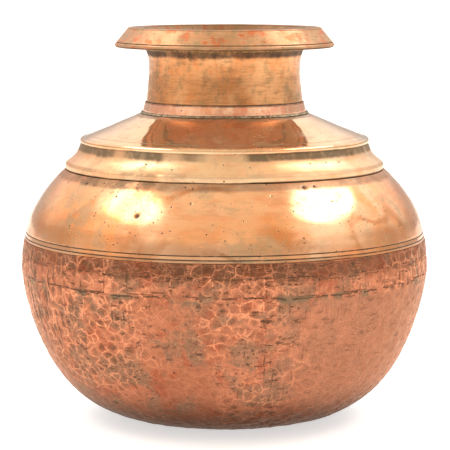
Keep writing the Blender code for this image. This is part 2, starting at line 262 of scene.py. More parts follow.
def flowing(points, steps, shown=1.0):  # one smooth curve through the points
    places = np.array([points[0]] + list(points) + [points[-1]])
    finished = []
    for a, b, c, d in zip(places, places[1:], places[2:], places[3:]):
        for t in np.arange(steps) / steps:
            curve = 2 * b + (c - a) * t + (2 * a - 5 * b + 4 * c - d) * t ** 2
            curve = curve + (3 * b - 3 * c + d - a) * t ** 3
            finished.append((curve[0] / 2, curve[1] / 2, shown))
    return finished + [(points[-1][0], points[-1][1], shown)]


def newTree(name, sizes):
    tree = bpy.data.node_groups.new(name, "GeometryNodeTree")
    make = tree.interface.new_socket
    make("Geometry", in_out="INPUT", socket_type="NodeSocketGeometry")
    make("Material", in_out="INPUT", socket_type="NodeSocketMaterial")
    for label, value in sizes.items():
        kind = "NodeSocketInt" if isinstance(value, int) else "NodeSocketFloat"
        make(label, in_out="INPUT", socket_type=kind).default_value = value
    make("Geometry", in_out="OUTPUT", socket_type="NodeSocketGeometry")
    board = Board(tree)
    place = board.add("GeometryNodeInputPosition")
    return board, board.add("NodeGroupInput"), place, board.named("outward", "FLOAT_VECTOR")


def endTree(board, given, geometry):
    real = board.add("GeometryNodeRealizeInstances", {}, {"Geometry": geometry})
    sockets = {"Geometry": real, "Material": given.other("Material")}
    coated = board.add("GeometryNodeSetMaterial", {}, sockets)
    board.add("NodeGroupOutput", {}, {"Geometry": coated})
    return board.tree


def applyTree(made, tree, values):
    modifier = made.modifiers.new(tree.name, "NODES")
    modifier.node_group = tree
    names = {s.name: s.identifier for s in tree.interface.items_tree if s.in_out == "INPUT"}
    for name, value in values.items():
        modifier[names[name]] = value
    bpy.context.view_layer.update()
    graph = bpy.context.evaluated_depsgraph_get()
    result = bpy.data.meshes.new_from_object(made.evaluated_get(graph), depsgraph=graph)
    made.modifiers.clear()
    made.data = result
    result.name = made.name
    return made


marksBend = {"scale": 150.0, "reach": 3.4 * mm}


def markPlace(board, place):  # the marks' own place, bent a little so that no edge is straight
    bend = board.noise(place, marksBend["scale"], 1.0).other("Color")
    bend = board.stretch(board.shift(bend, (-0.5, -0.5, -0.5)), marksBend["reach"])
    return board.shift(place, bend)


def hammeredTree():
    board, given, place, outward = newTree("hammeredSkin", {
        "Mark Size": 8.0 * mm, "Mark Depth": 0.2 * mm, "Swell Size": 40.0 * mm, "Swell Depth": 0.2 * mm,
        "Worn Size": 60.0 * mm})
    marks = board.cells(markPlace(board, place), 1.0 / given.other("Mark Size"))
    distance = marks.other("Distance").least(0.85)
    dish = distance * distance * 2.0 - 0.55
    worn = board.noise(place, 1.0 / given.other("Worn Size"), 2.0).ramp(0.4, 0.62) * 0.6 + 0.4
    swell = board.noise(place, 1.0 / given.other("Swell Size"), 1.0) - 0.5
    fine = board.noise(place, 420.0, 2.0) - 0.5
    lift = dish * worn * given.other("Mark Depth") + swell * given.other("Swell Depth") * 2.0
    lift = lift + fine * (0.12 * mm)
    return endTree(board, given, board.moved(given, outward, lift))


def castTree():
    board, given, place, outward = newTree("castSkin", {
        "Pit Density": 1000.0, "Pit Radius": 1.2 * mm, "Pit Depth": 0.3 * mm, "Swell Size": 40.0 * mm,
        "Swell Depth": 0.1 * mm, "Ripple Size": 11.0 * mm, "Ripple Depth": 0.03 * mm, "Seed": 3})
    shown = board.add("ShaderNodeVectorMath", {"operation": "LENGTH"}, {0: outward}, out="Value")
    scattered = board.add("GeometryNodeDistributePointsOnFaces", {}, {
        "Mesh": given, "Selection": shown.maths("GREATER_THAN", 0.9),
        "Density": given.other("Pit Density"), "Seed": given.other("Seed")})
    spread = board.add("FunctionNodeRandomValue", {}, {
        2: 0.25, 3: 1.0, "Seed": given.other("Seed")}, out=1)
    reach = spread * spread * given.other("Pit Radius")
    carried = board.add("GeometryNodeStoreNamedAttribute", {}, {
        "Geometry": scattered, "Name": "reach", "Value": reach.most(0.35 * mm)})
    nearest = board.add("GeometryNodeSampleNearest", {}, {"Geometry": carried})
    spot = board.add("GeometryNodeSampleIndex", {"data_type": "FLOAT_VECTOR"}, {
        "Geometry": carried, "Value": place, "Index": nearest})
    size = board.named("reach", "FLOAT")
    width = board.add("GeometryNodeSampleIndex", {}, {
        "Geometry": carried, "Value": size, "Index": nearest})
    away = board.distance(place, spot)
    ragged = board.noise(place, 900.0, 2.0) * 0.8 + 0.6
    share = (away / (width * ragged)).least(1.0)
    dish = (1.0 - share * share) ** 1.5
    swell = board.noise(place, 1.0 / given.other("Swell Size"), 1.0) - 0.5
    deep = given.other("Pit Depth") * (width / given.other("Pit Radius"))
    ripple = board.noise(place, 1.0 / given.other("Ripple Size"), 1.0) - 0.5
    lift = swell * given.other("Swell Depth") * 2.0 + ripple * given.other("Ripple Depth") * 2.0 - dish * deep
    moved = board.moved(given, outward, lift)
    stored = board.add("GeometryNodeStoreNamedAttribute", {}, {
        "Geometry": moved, "Name": "pit", "Value": dish * shown})
    return endTree(board, given, stored)


hammeredSkin = hammeredTree()
castSkin = castTree()
print("node trees made")


def emptied(owner):
    owner.use_nodes = True
    owner.node_tree.nodes.clear()
    return Board(owner.node_tree)


def newFinish(name):
    material = bpy.data.materials.new(name)
    return material, emptied(material)


def finishWith(board, colour, metal, rough, relief, edgeTint=(1.0, 1.0, 1.0, 1.0)):
    bump = board.add("ShaderNodeBump", {}, {"Strength": 1.0, "Distance": mm, "Height": relief})
    shader = board.add("ShaderNodeBsdfPrincipled", {}, {
        "Base Color": colour, "Metallic": metal, "Roughness": rough, "Specular Tint": edgeTint,
        "Normal": bump})
    board.add("ShaderNodeOutputMaterial", {}, {"Surface": shader})


def turnedFinish(name, look):
    material, board = newFinish(name)
    place = board.add("ShaderNodeTexCoord", out="Object")
    x, y, z = board.split(place)
    radius = (x * x + y * y) ** 0.5
    along = z - radius
    east, north = way = (x / radius, y / radius)
    lines = board.around(way, 1.6, along / look["lineWidth"])
    coarse = board.around(way, 1.2, along / (look["lineWidth"] * 7), 2.0, 0.5)
    brushed = board.around(way, 5, along / (look["lineWidth"] * 2), 2.0)
    streaks = board.around(way, 14, along * 30)
    warm = board.around(way, 6, along * 110 + 7.0)
    cool = board.around(way, 8, along * 130 + 31.0, 3.0, 0.65)
    cloud = board.noise(place, look["cloudScale"], 4.0, 0.62, 0.6)
    cloudFine = board.noise(place, look["cloudScale"] * 6, 5.0, 0.7, 0.4)
    tone = board.noise(place, look["cloudScale"] * 0.7, 2.0, 0.5, 1.2)
    drift, fray = cloud - 0.5, cloudFine - 0.5
    grain = board.noise(place, 1500.0, 2.0, 0.6)
    # painted reflection: soft curled dark lines that stand in for the wavy mirror reflections of the polished
    # metal
    swirlReflection = board.noise(board.shift(place, (0.31, 0.17, 0.05)), 16.0, 1.0, 0.4, 0.8)
    reflectedCurl = swirlReflection.ramp(0.45, 0.5) * swirlReflection.ramp(0.56, 0.502) * cloud.ramp(0.4, 0.54)
    tarnish = board.distance(place, look["tarnishPlace"]).ramp(55.0 * mm, 22.0 * mm) * look["tarnish"]
    patina = (cloud * 0.7 + cloudFine * 0.3 + tarnish).ramp(*look["patinaSpan"])
    patina = patina * (brushed * 0.7 + 0.5).least(1.0)

    spots = board.cells(place, 1.0 / (5.0 * mm))
    spotTone = board.split(spots.other("Color"))[0]
    spotReach = spotTone * 0.12 + 0.02
    pits = ((spots.other("Distance") + fray * 0.06) / spotReach).ramp(1.0, 0.5)
    pits = pits * spotTone.ramp(0.25, 0.4) * look["pits"]
    specks = board.cells(place, 1.0 / (2.0 * mm))
    speckTone = board.split(specks.other("Color"))[1]
    speckReach = (speckTone * 0.5 - 0.18).most(0.02)
    speckMask = (specks.other("Distance") / speckReach).ramp(1.0, 0.5) * speckTone.ramp(0.5, 0.7)
    speckMask = speckMask * look["specks"] * cloud.ramp(0.4, 0.55)
    marks = pits.most(speckMask * 0.9).most(board.attribute("pit").ramp(0.15, 0.7))
    if look["knocked"]:
        marks = marks.most(board.attribute("knock").ramp(0.3, 0.9))

    breaks = board.noise(board.join(east * 1.9, north * 1.9, 5.3), 1.0, 3.0, 0.6).ramp(0.4, 0.5)
    breaks = breaks * look["breaks"] + (1.0 - look["breaks"])
    # the grime and painted shade bands are left out on the side facing -y
    facing = (north * -1.0 + drift * 0.01).ramp(0.984, 0.996)
    breaks = breaks * (1.0 - facing * look["frontGap"])
    darkBands = []
    for height, below, above, strength in look["grimeAndShade"]:  # soft grime with painted shade under overhangs and in creases, uneven at its edges
        below, above = below * mm, above * mm
        reach = below + above
        wobble = z + fray * reach * 0.2 + drift * reach * 0.4
        rise = wobble.ramp(height - below, height - 0.6 * below)
        fall = wobble.ramp(height + above, height + 0.45 * above)
        darkBands.append(rise * fall * breaks * (cloudFine.ramp(0.2, 0.55) * 0.4 + 0.6) * strength)
    for height, half, strength in look["darkLines"]:  # fine dark lines in grooves and along edges: painted shade with some grime
        shallow = z.near(height, half * mm, half * mm * 0.4)
        darkBands.append(shallow * (streaks.ramp(0.25, 0.5) * 0.3 + 0.7) * strength)
    grimeAndShade = darkBands[0]
    for darkBand in darkBands[1:]:
        grimeAndShade = grimeAndShade.most(darkBand)

    # painted shade inside the mouth: darker inward of this radius
    shadedInside = look["shadedInsideRadius"]
    colour = board.coat(look, [
        (tone.ramp(0.35, 0.65) * look["toneShare"], "deep"),
        (streaks.ramp(0.4, 0.7) * look["streaks"], "streak"),
        (brushed.ramp(0.45, 0.75) * look["brushed"], "brushedColour"),
        (warm.ramp(0.5, 0.64) * look["warmStain"], "warmColour"),
        (cool.ramp(0.48, 0.64) * look["coolStain"], "patinaColour"),
        (reflectedCurl * look["swirlReflection"], "swirlReflectionColour"),
        (patina * look["patina"], "patinaColour"),
        (radius.ramp(shadedInside, shadedInside - 1.5 * mm) * 0.5, "grimeAndShadeColour"),
        (grimeAndShade, "grimeAndShadeColour"),
        (marks * 0.95, "pitColour")])
    rough = look["rough"] + (lines - 0.35) * look["lineRough"] + patina * 0.18 + marks * 0.3 + grimeAndShade * 0.4
    rough = rough + fray * 0.08 + drift * look["roughCloud"]
    for low, high, amount in look["dull"]:
        rough = rough + z.ramp(low - mm, low + mm) * z.ramp(high + mm, high - mm) * amount
    metal = look["metal"] - marks * 0.85 - grimeAndShade * 0.6 - patina * 0.2
    relief = lines * look["lineDepth"] + coarse * (look["lineDepth"] * 2.0) - marks * look["pitDepth"]
    relief = relief + cloudFine * look["orangePeel"] + grain * 0.0012
    finishWith(board, colour, metal.most(0.0), rough.least(1.0).most(0.04), relief)
    return material


def hammeredFinish(name, look):
    material, board = newFinish(name)
    place = board.add("ShaderNodeTexCoord", out="Object")
    x, y, z = board.split(place)
    radius = (x * x + y * y).most(0.0001) ** 0.5
    east, north = way = (x / radius, y / radius)
    scale = 1.0 / look["markSize"]
    bent = markPlace(board, place)
    edge = board.cells(bent, scale, "DISTANCE_TO_EDGE").other("Distance")
    small = board.cells(bent, scale * 2.3, "DISTANCE_TO_EDGE").other("Distance")
    marks = board.cells(bent, scale)
    tone = board.split(marks.other("Color"))[0]
    worn = board.noise(place, 1.0 / look["wornSize"], 2.0).ramp(0.4, 0.62)
    broad = board.noise(place, 13.0, 3.0, 0.5, 0.5)
    cloud = board.noise(place, 55.0, 4.0, 0.6, 0.5)
    rust = board.noise(board.shift(place, (0.2, 0.4, 0.1)), 75.0, 4.0, 0.65, 0.5)
    broken = board.noise(place, 140.0, 2.0).ramp(0.38, 0.58)
    fine = board.noise(place, 330.0, 5.0, 0.72)
    grain = board.noise(place, 1200.0, 3.0, 0.65)
    drift, fray = cloud - 0.5, fine - 0.5
    level = board.around(way, 13, z * 480)
    upright = board.around(way, 75, z * 45)
    runs = board.around(way, 16, z * 30, 2.0)

    kept = board.distance(place, look["smoothPlace"]).ramp(*look["smoothReach"]) * 0.8 + 0.2
    kept = kept.most(z.ramp(*look["smoothTop"]))
    # ridge and hollow: lighter copper on the mark edges and on lifted scratch edges, darker in the hollows; part
    # wear and oxide, part painted highlight and painted shade
    ridge = (edge + fray * 0.12).ramp(0.12, 0.01) * (worn * 0.8 + 0.2) * (broken * 0.8 + 0.2)
    crossed = (small + fray * 0.15).ramp(0.1, 0.0) * broken * cloud.ramp(0.5, 0.62) * 0.6
    ridge = ridge.most(crossed) * kept
    hollow = marks.other("Distance").ramp(0.52, 0.15) * (worn * 0.8 + 0.2) * kept
    patina = (cloud * 0.6 + fine * 0.4).ramp(0.47, 0.6)
    seamHigh = look["seamHeight"]
    bright = (z + drift * 7.0 * mm).near(seamHigh, 6.0 * mm, 3.0 * mm)
    # painted shade under the dome's lip, strongest on the side facing -y
    underLip = (z + fray * 5.0 * mm + drift * 8.0 * mm).ramp(*look["lipShade"])
    underLip = underLip * ((north * -1.0).ramp(0.5, 0.95) * 0.8 + 0.2)
    # painted shade: darker towards the foot, where the shadowed floor is reflected
    foot = (z + drift * 12.0 * mm).ramp(*look["footShade"])

    nearSeam = (z + drift * 8.0 * mm).near(seamHigh, 14.0 * mm, 4.0 * mm)
    scratched = (cloud * 0.5 + broad * 0.5).ramp(0.44, 0.56).most(nearSeam * 0.9)
    nicks = level.ramp(0.585, 0.66) * fine.ramp(0.42, 0.55) * scratched
    lifted = level.ramp(0.54, 0.57) * level.ramp(0.6, 0.58) * scratched * fine.ramp(0.4, 0.5)
    frayed = board.distance(place, look["splitPlace"]).ramp(*look["splitReach"])
    splits = upright.ramp(0.62, 0.7) * fine.ramp(0.4, 0.55) * broad.ramp(0.48, 0.56)
    splits = splits.most(upright.ramp(0.54, 0.6) * fine.ramp(0.38, 0.5) * frayed)
    jagged = z + drift * 5.0 * mm + fray * 2.4 * mm
    lowCrack = jagged.near(look["lowCrack"], 0.6 * mm, 0.2 * mm) * runs.ramp(0.44, 0.5)
    highCrack = jagged.near(look["highCrack"], 0.5 * mm, 0.2 * mm)
    highCrack = highCrack * runs.ramp(0.54, 0.48) * fine.ramp(0.4, 0.5)
    crusted = jagged.near(look["crust"], 3.2 * mm, 0.8 * mm) * cloud.ramp(0.48, 0.58)
    spots = board.cells(place, 1.0 / (4.0 * mm))
    spotTone = board.split(spots.other("Color"))[1]
    chips = (spots.other("Distance") + fray * 0.3).ramp(0.24, 0.14) * spotTone.ramp(0.68, 0.76)
    scars = nicks.most(lowCrack).most(highCrack).most(splits).most(chips * 0.7) * (kept * 0.8 + 0.2)

    colour = board.coat(look, [
        (broad.ramp(0.4, 0.6), "warm"),
        (bright * 0.5, "bright"),
        (rust.ramp(0.5, 0.64) * kept * 0.6, "red"),
        (cloud.ramp(0.49, 0.6) * kept * 0.6, "grey"),
        ((1.0 - kept) * 0.75, "smooth"),
        (hollow * (tone * 0.5 + 0.4), "hollow"),
        (patina * kept * 0.32, "patinaColour"),
        (underLip * 0.6, "dark"),
        (ridge * 0.75, "ridge"),
        (grain.ramp(0.42, 0.7) * 0.42, "dark"),
        (level.ramp(0.45, 0.62) * 0.12, "dark"),
        (foot * 0.93, "foot"),
        (lifted * 0.3, "ridge"),
        (crusted * 0.6, "patinaColour"),
        (scars * 0.75, "chip")])
    rough = look["rough"] + fray * 0.25 + patina * 0.12 - ridge * 0.12 + scars * 0.2
    relief = grain * 0.05 + fine * 0.16 + ridge * 0.1 - scars * 0.25 + level * 0.06 + lifted * 0.08
    metal = 1.0 - scars * 0.5 - patina * 0.15
    finishWith(board, colour, metal, rough.least(1.0).most(0.15), relief, look["edgeTint"])
    return material


def fillerFinish(name, look):
    material, board = newFinish(name)
    place = board.add("ShaderNodeTexCoord", out="Object")
    lumps = board.noise(place, 600.0, 4.0, 0.65)
    specks = board.cells(place, 1.0 / (1.3 * mm))
    bright = board.split(specks.other("Color"))[0].ramp(0.4, 0.8)
    colour = board.coat(look, [(lumps.ramp(0.65, 0.35), "dark"), (bright * look["speckle"], "bright")])
    rough = look["rough"] + (lumps - 0.5) * 0.3
    finishWith(board, colour, 1.0 - lumps.ramp(0.6, 0.4) * 0.5, rough, lumps * 0.3)
    return material


bronzeLook = {
    "base": (247, 190, 146), "deep": (238, 166, 112), "streak": (248, 205, 165),
    "brushedColour": (226, 150, 104), "patinaColour": (158, 138, 106),
    "grimeAndShadeColour": (104, 84, 58), "pitColour": (64, 46, 30), "metal": 0.9,
    "warmColour": (232, 136, 88), "warmStain": 0.3, "coolStain": 0.15, "swirlReflection": 0.0,
    "shadedInsideRadius": 0.0, "dull": [], "roughCloud": 0.0, "swirlReflectionColour": (200, 128, 80), "breaks": 0.3,
    "knocked": False, "specks": 0.45, "tarnishPlace": (0.0, 0.0, 0.0), "tarnish": 0.0, "frontGap": 0.0,
    "lineWidth": 0.5 * mm, "lineDepth": 0.005, "lineRough": 0.06, "cloudScale": 24.0,
    "patinaSpan": (0.545, 0.63), "patina": 0.5, "streaks": 0.2, "brushed": 0.15, "toneShare": 0.6,
    "pits": 1.0, "pitDepth": 0.16, "orangePeel": 0.006, "rough": 0.1,
    "grimeAndShade": [], "darkLines": []}  # height, then mm below and above or half the width in mm, then strength

print("finishes ready")


# the CAD boxes that the pieces' ends come from
lipLow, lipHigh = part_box("rim_lip")
neckLow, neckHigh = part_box("neck")
collarLow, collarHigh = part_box("neck_collar")
capLow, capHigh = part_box("shoulder_cap")
bellyLow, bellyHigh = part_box("upper_belly")
bandLow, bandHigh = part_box("belly_band")
bowlLow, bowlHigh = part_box("lower_bowl")
solderLow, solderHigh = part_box("collar_solder")


def finishPiece(made, node):
    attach(made, "root")
    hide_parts(node)
    print(made.name, len(made.data.polygons), "faces")


def castPiece(names, outline, size, finish, seed, density, skin, knocks=()):  # the skin's sizes in mm
    name, slot, node = names
    outline = spaced(eased(outline, size["round"]), size["step"], size["hiddenStep"])
    made = turned(name, outline, size["columns"])
    if knocks:
        pressDents(made, knocks)
    labels = ("Pit Radius", "Pit Depth", "Swell Size", "Swell Depth", "Ripple Size", "Ripple Depth")
    values = inMetres(dict(zip(labels, skin)))
    applyTree(made, castSkin, values | {"Material": finish, "Seed": seed, "Pit Density": density})
    finishPiece(made, node)


def inMetres(sizes):
    return {name: size * mm for name, size in sizes.items()}


body = {  # the belly's one curve: a bowl below the widest line and a dome above it
    "radius": bowlHigh.x, "widest": 93.0 * mm, "footRadius": 37.0 * mm,
    "bowlPower": 1.41, "bowlRadiusPower": 4.37, "domePower": 2.30, "domeRadiusPower": 1.113,
    "domeReach": 112.4 * mm}


def bodyRadius(height):
    if height >= body["widest"]:
        share = ((height - body["widest"]) / body["domeReach"]) ** body["domePower"]
        return body["radius"] * (1.0 - share) ** (1.0 / body["domeRadiusPower"])
    foot = 1.0 - (body["footRadius"] / body["radius"]) ** body["bowlRadiusPower"]
    depth = body["widest"] / foot ** (1.0 / body["bowlPower"])
    share = ((body["widest"] - max(height, 0.0)) / depth) ** body["bowlPower"]
    return body["radius"] * (1.0 - share) ** (1.0 / body["bowlRadiusPower"])


def bodyNormal(height):
    step = 0.2 * mm
    low = max(height - step, 0.0)
    slope = (bodyRadius(height + step) - bodyRadius(low)) / (height + step - low)
    length = math.hypot(1.0, slope)
    return 1.0 / length, -slope / length


def inside(height, depth):  # the point that far under the surface
    out, up = bodyNormal(height)
    return bodyRadius(height) - out * depth, height - up * depth


rim = inMetres({
    "beadRadius": 1.5, "land": 58.8, "mouth": 50.0, "throat": 46.7, "gorge": 45.7, "socket": 48.2,
    "socketOut": 50.4, "underside": 3.5, "seat": 6.0, "bevelFoot": 66.1, "bevelFootRise": 3.2,
    "mouthDrop": 3.0, "round": 0.35, "step": 0.6, "hiddenStep": 1.5}) | {"columns": 480}


def makeRimLip():
    top, bottom = lipHigh.z, lipLow.z
    middle = (lipHigh.x - rim["beadRadius"], bottom + rim["beadRadius"])
    outline = arc(middle, rim["beadRadius"], -90, 62, 12)
    outline += line([(rim["bevelFoot"], bottom + rim["bevelFootRise"]), (rim["land"], top)])
    outline += line([(rim["mouth"], top), (rim["throat"], top - rim["mouthDrop"])])
    outline += line([(rim["gorge"], bottom + rim["seat"])])
    outline += line([(rim["socket"], bottom + rim["seat"]), (rim["socket"], bottom)], 0.0)
    outline += line([(rim["socketOut"], bottom), (rim["socketOut"], bottom + rim["underside"])], 0.0)
    outline += line([(rim["land"], bottom + rim["underside"])], 0.0)
    look = bronzeLook | {
        "base": (208, 160, 122), "deep": (190, 134, 98), "streak": (184, 134, 96), "pits": 0.5,
        "streaks": 0.45, "brushed": 0.75, "brushedColour": (172, 122, 84), "patina": 0.5,
        "patinaSpan": (0.5, 0.6), "rough": 0.4, "lineRough": 0.2, "lineDepth": 0.02, "metal": 0.92,
        "warmStain": 0.85, "warmColour": (202, 106, 66), "coolStain": 0.65,
        "patinaColour": (160, 136, 102), "grimeAndShadeColour": (84, 60, 40), "shadedInsideRadius": rim["land"],
        # the band at the bottom is painted shade with grime under the bead; the dark lines at the groove and the
        # top edge are painted shade
        "grimeAndShade": [(bottom, 0.8, 1.5, 0.85)],
        "darkLines": [(bottom + 3.1 * mm, 0.42, 0.9), (top - 0.5 * mm, 0.35, 0.4)]}
    castPiece(
        ("rimLip", "turned_bronze", "rim_lip"), outline, rim, turnedFinish("rimBronze", look),
        5, 1600.0, (1.1, 0.35, 18.0, 0.16))


neck = inMetres({
    "foot": 48.0, "waist": 46.25, "top": 49.0, "wall": 2.2, "spigot": 47.9, "gorge": 45.7, "bore": 45.8,
    "underLip": 0.3, "round": 0.3, "step": 0.7, "hiddenStep": 2.0}) | {
    "waistShare": 0.52, "taperPower": 1.2, "flarePower": 3.3, "rows": 48, "columns": 400}


def neckRadius(height):
    foot, top = collarHigh.z, lipLow.z - neck["underLip"]
    waist = foot + (top - foot) * neck["waistShare"]
    if height < waist:
        share = (waist - height) / (waist - foot)
        return neck["waist"] + (neck["foot"] - neck["waist"]) * share ** neck["taperPower"]
    share = (height - waist) / (top - waist)
    return neck["waist"] + (neck["top"] - neck["waist"]) * share ** neck["flarePower"]


def makeNeck():
    foot, top = collarHigh.z, lipLow.z - neck["underLip"]
    heights = [foot + (top - foot) * k / neck["rows"] for k in range(neck["rows"] + 1)]
    outline = line([(neck["foot"], neckLow.z)], 0.0)
    outline += [(neckRadius(h), h, 1.0) for h in heights]
    outline += line([(neck["spigot"], top), (neck["spigot"], neckHigh.z), (neck["gorge"], neckHigh.z)], 0.0)
    outline += [(neckRadius(h) - neck["wall"], h, 0.0) for h in reversed(heights[::6][:-1])]
    outline += line([(neck["bore"], neckLow.z)], 0.0)
    look = bronzeLook | {
        "base": (228, 166, 114), "deep": (206, 134, 82), "streak": (236, 176, 124), "pits": 0.35,
        "patinaColour": (118, 104, 74), "grimeAndShadeColour": (62, 46, 30), "patina": 0.55,
        "patinaSpan": (0.5, 0.62), "streaks": 0.25, "brushed": 0.6, "brushedColour": (166, 112, 70),
        "rough": 0.27, "lineRough": 0.26, "lineDepth": 0.03, "lineWidth": 0.55 * mm, "cloudScale": 30.0,
        "warmStain": 0.45, "warmColour": (216, 124, 64), "coolStain": 0.35, "toneShare": 0.9,
        # the band under the rim is painted shade with grime; the one at the foot is grime at the joint
        "metal": 0.8, "grimeAndShade": [(top, 6.0, 2.0, 0.9), (foot, 1.6, 1.0, 0.9)]}
    castPiece(
        ("neckTube", "turned_bronze", "neck"), outline, neck, turnedFinish("neckBronze", look),
        9, 260.0, (1.1, 0.3, 22.0, 0.25))


collar = inMetres({
    "bore": 48.3, "top": 48.7, "upright": 2.0, "round": 0.3, "step": 0.5, "hiddenStep": 1.5}) | {
    "columns": 400}


def makeNeckCollar():
    outline = line([(collarHigh.x, collarLow.z), (collarHigh.x, collarLow.z + collar["upright"])])
    outline += line([(collar["top"], collarHigh.z), (collar["bore"], collarHigh.z)])
    outline += line([(collar["bore"], collarLow.z)], 0.0)
    look = bronzeLook | {
        "base": (250, 196, 158), "deep": (240, 160, 122), "streak": (252, 220, 190),
        "patinaColour": (206, 124, 98), "patinaSpan": (0.5, 0.6), "patina": 0.6, "streaks": 0.5,
        "rough": 0.18, "lineRough": 0.14, "grimeAndShadeColour": (84, 64, 44), "cloudScale": 70.0,
        "grimeAndShade": [(collarHigh.z, 0.9, 0.8, 0.7), (collarLow.z + 0.6 * mm, 1.2, 1.0, 0.7)]}
    castPiece(
        ("neckCollar", "turned_bronze", "neck_collar"), outline, collar, turnedFinish("collarBronze", look),
        13, 1200.0, (0.9, 0.25, 12.0, 0.2))


solder = inMetres({
    "bore": 50.3, "spread": 0.3, "round": 0.25, "step": 0.35, "hiddenStep": 1.0}) | {"columns": 480}


def makeCollarSolder():
    low, high = solderLow, solderHigh
    outline = line([(high.x + solder["spread"], low.z), (high.x - 0.2 * mm, low.z + 0.6 * mm)])
    outline += line([(high.x - 0.8 * mm, high.z), (solder["bore"], high.z)])
    outline += line([(solder["bore"], low.z)], 0.0)
    look = {
        "base": (150, 130, 100), "dark": (82, 64, 44), "bright": (196, 182, 156),
        "speckle": 0.5, "rough": 0.5}
    castPiece(
        ("collarSolder", "filler", "collar_solder"), outline, solder, fillerFinish("solderGrey", look),
        17, 60000.0, (1.0, 0.3, 4.0, 0.25))


cap = inMetres({
    "cornerRadius": 0.6, "edgeStand": 0.3, "edgeHeight": 3.5, "beadRadius": 2.0, "land": 51.7,
    "socket": 48.3, "socketDrop": 3.0, "bore": 45.8, "seatFoot": 5.4, "throat": 50.7, "throatTop": 2.2,
    "skirt": 92.6, "round": 0.25, "step": 0.9, "hiddenStep": 2.5}) | {
    "columns": 390, "beadMiddle": [(86.9, 17.1)],  # these give radius and height over the foot, in mm
    "cove": [(96.6, 4.4), (94.1, 6.3), (91.4, 9.0), (89.5, 12.4), (88.4, 15.4)],
    "slope": [(86.2, 19.1), (78.4, 22.4), (69.8, 25.8), (60.6, 29.7)],
    "inside": [(76.5, 19.9), (85.4, 15.2), (86.9, 11.2), (88.6, 7.9), (91.0, 4.7), (91.7, 4.1), (92.6, 4.1)]}


def capPoints(name):
    return [(r * mm, capLow.z + h * mm) for r, h in cap[name]]


def makeShoulderCap():
    base, top = capLow.z, capHigh.z
    edge = capHigh.x + cap["edgeStand"]
    corner = cap["cornerRadius"]
    outline = line([(cap["skirt"], base), (edge - corner, base)], 0.0)
    outline += arc((edge - corner, base + corner), corner, -75, 0, 4)
    outline += arc((edge - corner, base + cap["edgeHeight"] - corner), corner, 0, 80, 6)
    outline += flowing(capPoints("cove"), 7)
    outline += arc(capPoints("beadMiddle")[0], cap["beadRadius"], -50, 76, 14)
    outline += flowing(capPoints("slope") + [(cap["land"], top)], 8)
    outline += line([(cap["socket"], top)])
    outline += line([(cap["socket"], top - cap["socketDrop"]), (cap["bore"], top - cap["socketDrop"])], 0.0)
    outline += line([(cap["bore"], top - cap["seatFoot"]), (cap["throat"], top - cap["seatFoot"])], 0.0)
    outline += line([(cap["throat"], top - cap["throatTop"])], 0.0)
    outline += line(capPoints("inside"), 0.0)
    look = bronzeLook | {
        "base": (234, 194, 152), "patina": 0.5, "patinaSpan": (0.53, 0.62), "rough": 0.08,
        "breaks": 0.6, "frontGap": 0.85, "lineRough": 0.05, "grimeAndShadeColour": (92, 76, 52), "metal": 0.8,
        "swirlReflection": 0.15, "warmStain": 0.2, "dull": [(base, base + 17.0 * mm, 0.24)],
        # the bands under the bead and in the cove are painted shade with grime; the ones at the top and bottom
        # edges are grime at the joints
        "grimeAndShade": [(base + 15.6 * mm, 5.0, 0.9, 0.9), (base + 3.6 * mm, 0.8, 1.6, 0.35),
                 (base, 0.9, 1.0, 0.9), (top, 1.6, 0.6, 0.6)],
        "darkLines": [(base + 20.6 * mm, 0.16, 0.6)]}
    castPiece(
        ("shoulderCap", "turned_bronze", "shoulder_cap"), outline, cap, turnedFinish("shoulderBronze", look),
        21, 700.0, (1.1, 0.3, 26.0, 0.22, 9.0, 0.07))


belly = inMetres({
    "lip": 111.6, "lowerLine": 113.1, "upperLine": 115.5, "lineHalf": 0.35, "lineDepth": 0.4, "ledge": 153.7,
    "ledgeDrop": 3.0, "spigot": 92.3, "bore": 90.3, "wall": 3.0, "skirtFoot": 103.9, "skirtTop": 111.2,
    "skirtStand": 1.8, "insideFrom": 113.0, "insideTo": 148.5, "swell": 1.1, "swellFrom": 114.0,
    "swellRun": 13.0, "sinkFrom": 146.0, "sinkRun": 8.0, "round": 0.18, "step": 0.9, "hiddenStep": 3.0}) | {
    "sink": 0.45, "rows": 46, "columns": 560}

dents = [  # where hard knocks have left their mark: angle, then height, reach and depth in mm
    (-116, 136.0, 2.6, 0.45), (-143, 150.4, 1.8, 0.35), (-126, 145.6, 1.3, 0.3), (-131, 134.0, 1.2, 0.3),
    (-103, 152.0, 1.4, 0.3), (-63, 151.2, 2.1, 0.4), (-75, 147.4, 1.3, 0.3), (-55, 143.0, 1.4, 0.3),
    (-30, 125.0, 1.7, 0.3), (-16, 130.7, 1.5, 0.3), (-68, 121.8, 1.4, 0.3), (-96, 121.4, 1.2, 0.25),
    (35, 140.0, 2.2, 0.4), (74, 128.0, 1.8, 0.3), (118, 146.0, 2.0, 0.35), (165, 133.0, 2.3, 0.4),
    (205, 149.0, 1.6, 0.3)]


